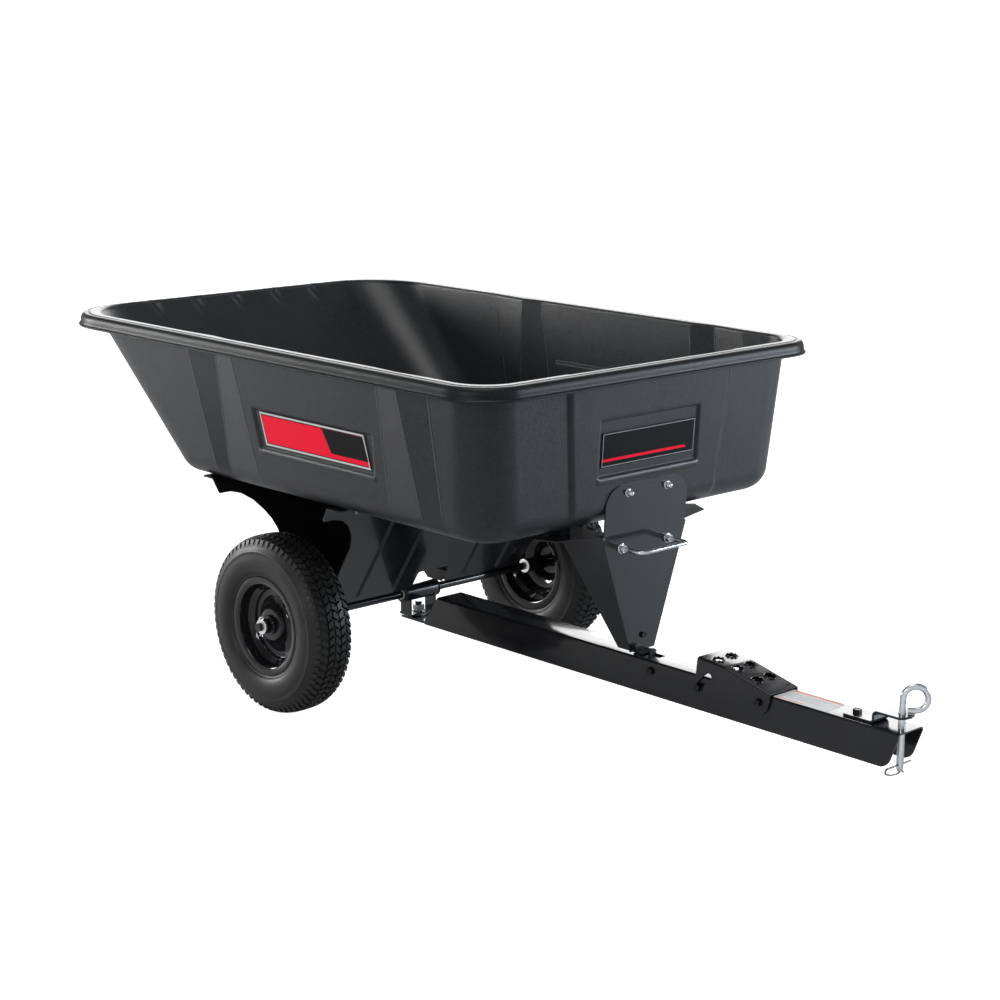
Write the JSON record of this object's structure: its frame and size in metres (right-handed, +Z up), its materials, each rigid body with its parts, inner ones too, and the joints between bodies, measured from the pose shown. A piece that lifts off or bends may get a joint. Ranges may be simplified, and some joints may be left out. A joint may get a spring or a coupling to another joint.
{
  "type": "tow behind dump cart",
  "caption": "Tow-behind garden dump cart: moulded tipping tub on a V underframe, swivelling axle with pneumatic wheels, channel tongue with foot-pedal latch and hitch pin.",
  "frame": {"origin": "on the level ground, straight below the middle of the axle", "axes": "+X forwards along the tongue to the hitch, +Y to the cart's left, +Z up"},
  "size_m": [2.176, 1.044, 0.842],
  "materials": {
    "tub_plastic": "grained",
    "black_steel": "satin",
    "zinc_steel": "zinc plated",
    "tyre_rubber": "moulded",
    "valve_rubber": "moulded",
    "white_nylon": "moulded",
    "side_decal_film": "printed",
    "front_decal_film": "printed",
    "label_film": "printed"
  },
  "bodies": {
    "tongue": {"tongue_beam": "black_steel", "kingpin_plate": "black_steel", "kingpin_bolt": "black_steel", "kingpin_nut": "zinc_steel", "thrust_washer": "white_nylon", "cross_bolt": "black_steel", "cross_nut": "black_steel", "pedal_pivot_bolt": "black_steel", "pedal_pivot_nut": "black_steel", "pivot_spacer": "zinc_steel", "spring_stop": "black_steel", "return_spring": "zinc_steel", "hitch_strap": "black_steel", "strap_bolt": "black_steel", "strap_nut": "black_steel", "tongue_label": "label_film"},
    "pin": {"hitch_pin": "zinc_steel"},
    "clip": {"hitch_clip": "zinc_steel"},
    "pedal": {"pedal": "black_steel"},
    "latch": {"latch_bar": "zinc_steel", "latch_hook": "zinc_steel", "cam_bolt": "black_steel", "cam_nut": "black_steel"},
    "swivel": {"swivel_bracket": "black_steel", "axle_sleeve": "black_steel", "axle": "black_steel", "axle_washers": "zinc_steel", "cotter_pins": "zinc_steel"},
    "tub": {"tub": "tub_plastic", "saddle_front_panel": "black_steel", "saddle_rear_panel": "black_steel", "saddle_tabs": "black_steel", "saddle_bushings": "white_nylon", "saddle_bolts": "zinc_steel", "saddle_nuts": "zinc_steel", "front_stand": "black_steel", "stand_flanges": "black_steel", "flange_bolts": "zinc_steel", "flange_nuts": "zinc_steel", "stand_bolts": "zinc_steel", "stand_acorn_nuts": "zinc_steel", "latch_striker": "zinc_steel", "striker_bolt": "black_steel", "striker_nut": "black_steel", "lift_handle": "zinc_steel", "handle_nuts": "zinc_steel", "handle_washers": "zinc_steel", "side_decals": "side_decal_film", "front_decal": "front_decal_film"},
    "wheel_right": {"tyre_right": "tyre_rubber", "rim_right": "black_steel", "wheel_bushings_right": "white_nylon", "valve_right": "valve_rubber"},
    "wheel_left": {"tyre_left": "tyre_rubber", "rim_left": "black_steel", "wheel_bushings_left": "white_nylon", "valve_left": "valve_rubber"}
  },
  "joints": [
    {"name": "swivel_steer", "type": "hinge", "parent": "tongue", "child": "swivel", "pos_m": [0, 0, 0.1525], "axis": [0, 0, 1], "range_deg": [-50, 50]},
    {"name": "dump", "type": "hinge", "parent": "swivel", "child": "tub", "pos_m": [0, 0, 0.203], "axis": [0, -1, 0], "range_deg": [0, 50]},
    {"name": "wheel_right_spin", "type": "hinge", "parent": "swivel", "child": "wheel_right", "pos_m": [0, -0.4085, 0.203], "axis": [0, 1, 0], "continuous": true},
    {"name": "wheel_left_spin", "type": "hinge", "parent": "swivel", "child": "wheel_left", "pos_m": [0, 0.4085, 0.203], "axis": [0, 1, 0], "continuous": true},
    {"name": "pedal_press", "type": "hinge", "parent": "tongue", "child": "pedal", "pos_m": [1.082, 0, 0.197], "axis": [0, -1, 0], "range_deg": [0, 12]},
    {"name": "latch_slide", "type": "slide", "parent": "tongue", "child": "latch", "axis": [1, 0, 0], "range_m": [0, 0.02597], "deforming": ["return_spring"]},
    {"name": "pin_lift", "type": "slide", "parent": "tongue", "child": "pin", "axis": [0, 0, 1], "range_m": [0, 0.018]},
    {"name": "clip_pull", "type": "slide", "parent": "pin", "child": "clip", "axis": [0, -1, 0], "range_m": [0, 0.05]}
  ],
  "couplings": [
    {"joint": "latch_slide", "follows": "pedal_press", "m_per_rad": 0.124}
  ]
}
